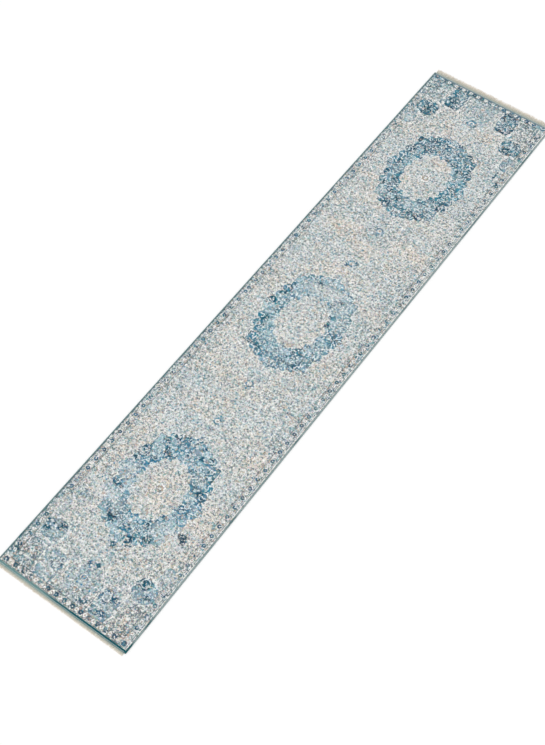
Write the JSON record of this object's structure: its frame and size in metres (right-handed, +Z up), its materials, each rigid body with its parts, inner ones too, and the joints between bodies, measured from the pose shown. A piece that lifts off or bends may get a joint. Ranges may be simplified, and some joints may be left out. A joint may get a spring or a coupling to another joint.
{
  "type": "runner rug",
  "caption": "Long narrow cut-pile rug with a faded traditional medallion pattern, overlocked sides and a short cream fringe at both ends.",
  "frame": {"origin": "on the floor, under the middle of the rug", "axes": "+X across the rug, +Y along it towards the far end, +Z up out of the pile"},
  "size_m": [0.8, 4, 0.009],
  "materials": {
    "ground": "undyed plain weave, matt",
    "pile": "faded cut pile, matt with a soft sheen",
    "cord": "undyed thick warp, matt",
    "overlock": "wrapped grey-teal yarn, matt",
    "near_band": "flat weave, dark teal, matt",
    "far_band": "flat weave, pale blue-grey, matt",
    "stitch": "cream sewing yarn, matt",
    "fringe": "cream cotton warp ends, matt"
  },
  "bodies": {
    "root": {"ground_weave": "ground", "pile_face": "pile", "left_selvedge_cord": "cord", "right_selvedge_cord": "cord", "left_overlock_yarn": "overlock", "right_overlock_yarn": "overlock", "near_end_band": "near_band", "far_end_band": "far_band", "near_lock_stitch": "stitch", "far_lock_stitch": "stitch", "near_fringe": "fringe", "far_fringe": "fringe"}
  },
  "joints": []
}
